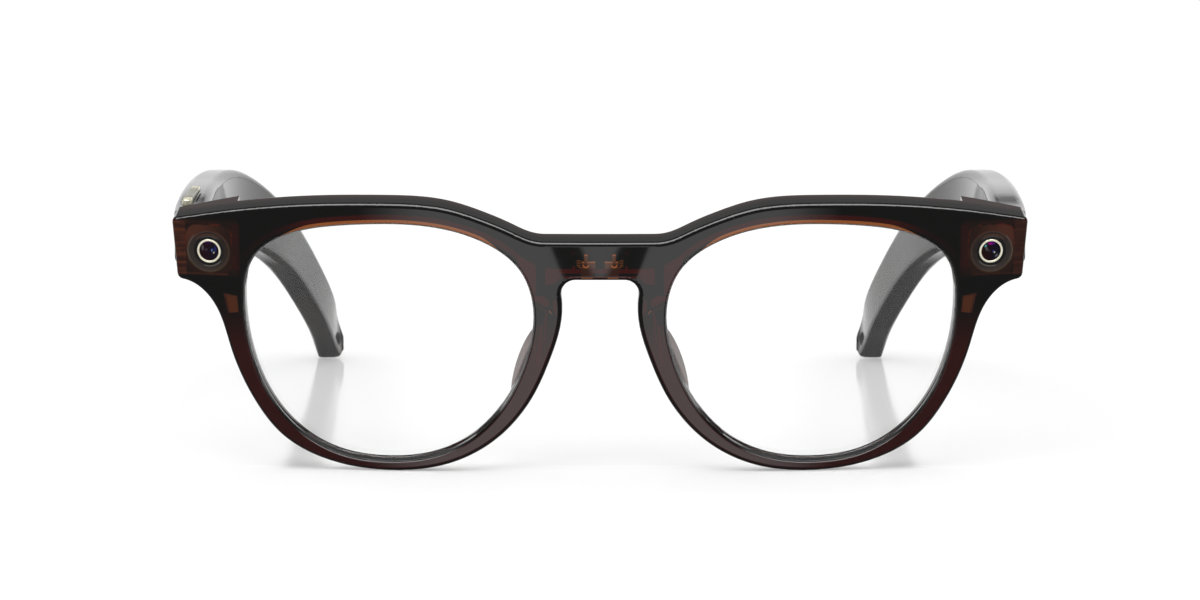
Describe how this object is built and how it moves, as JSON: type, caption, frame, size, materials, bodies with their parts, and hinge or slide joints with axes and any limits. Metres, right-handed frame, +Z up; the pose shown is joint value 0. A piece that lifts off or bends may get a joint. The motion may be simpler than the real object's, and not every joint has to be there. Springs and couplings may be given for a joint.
{
  "type": "smart glasses",
  "caption": "Camera smart glasses with a wrapped plastic front, clear lenses, camera and indicator ports, folding temples, capture button and power slider.",
  "frame": {"origin": "centre of the footprint on the surface that the open glasses stand on", "axes": "+Z up, +X to the wearer's left, the front faces -Y and the temples run to +Y"},
  "size_m": [0.1544, 0.1474, 0.0492],
  "materials": {
    "battery_wrap": "wrapped cell",
    "black_plastic": "black housing",
    "black_rubber": "matt black",
    "button_metal": "champagne",
    "circuit_board": "solder mask",
    "clear_lens": "clear, anti-reflective",
    "copper_contact": "plated contact",
    "dark_glass": "coated cover glass",
    "flex_ribbon": "polyimide, amber",
    "frame_plastic": "polished, dark brown, slightly translucent",
    "gold_metal": "pale gold, polished",
    "hinge_steel": "brushed",
    "light_guide_plastic": "milky light guide",
    "mesh_metal": "dark mesh",
    "nose_pad_plastic": "polished dark brown",
    "screw_steel": "bright",
    "shield_metal": "tinned",
    "speaker_plastic": "black"
  },
  "bodies": {
    "front": {"front_shell": "frame_plastic", "rear_cover": "frame_plastic", "lens_left": "clear_lens", "lens_right": "clear_lens", "nose_pad_left": "nose_pad_plastic", "nose_pad_right": "nose_pad_plastic", "camera_trim_ring": "gold_metal", "camera_seal": "black_rubber", "camera_cover_glass": "dark_glass", "camera_barrel": "black_plastic", "camera_sensor_board": "circuit_board", "indicator_trim_ring": "gold_metal", "indicator_seal": "black_rubber", "indicator_cover_glass": "dark_glass", "indicator_light_guide": "light_guide_plastic", "indicator_led_board": "circuit_board", "brow_flex": "flex_ribbon", "charging_contacts": "copper_contact", "contact_carrier": "black_plastic", "bridge_microphone": "shield_metal", "antenna_strip_left": "copper_contact", "antenna_strip_right": "copper_contact", "front_hinge_left": "hinge_steel", "front_hinge_right": "hinge_steel", "front_hinge_screws": "screw_steel", "hinge_pin_left": "screw_steel", "hinge_pin_right": "screw_steel"},
    "temple_left": {"temple_shell_left": "frame_plastic", "temple_cover_left": "frame_plastic", "temple_hinge_left": "hinge_steel", "temple_hinge_screws_left": "screw_steel", "speaker_left": "speaker_plastic", "speaker_grille_left": "mesh_metal", "temple_microphone_left": "shield_metal", "temple_port_mesh_left": "mesh_metal", "speaker_flex_left": "flex_ribbon", "power_switch": "black_plastic", "main_board": "circuit_board", "processor_shield": "shield_metal"},
    "temple_right": {"temple_shell_right": "frame_plastic", "temple_cover_right": "frame_plastic", "temple_hinge_right": "hinge_steel", "temple_hinge_screws_right": "screw_steel", "speaker_right": "speaker_plastic", "speaker_grille_right": "mesh_metal", "temple_microphone_right": "shield_metal", "temple_port_mesh_right": "mesh_metal", "speaker_flex_right": "flex_ribbon", "capture_switch": "black_plastic", "battery": "battery_wrap", "battery_board": "circuit_board", "touch_pad_flex": "flex_ribbon"},
    "capture_button": {"capture_button": "button_metal"},
    "power_slider": {"power_slider": "black_plastic"}
  },
  "joints": [
    {"name": "temple_fold_left", "type": "hinge", "parent": "front", "child": "temple_left", "pos_m": [0.0673, -0.05769, 0.0416], "axis": [0, 0, 1], "range_deg": [0, 84]},
    {"name": "temple_fold_right", "type": "hinge", "parent": "front", "child": "temple_right", "pos_m": [-0.0673, -0.05769, 0.0416], "axis": [0, 0, -1], "range_deg": [0, 74]},
    {"name": "capture_button_press", "type": "slide", "parent": "temple_right", "child": "capture_button", "axis": [0, 0.0605, -0.9982], "range_m": [0, 0.0004], "stiffness_N_per_m": 2000, "springref_m": -0.0002},
    {"name": "power_slider_slide", "type": "slide", "parent": "temple_left", "child": "power_slider", "axis": [0.0433, 0.9989, -0.0199], "range_m": [0, 0.002]}
  ]
}
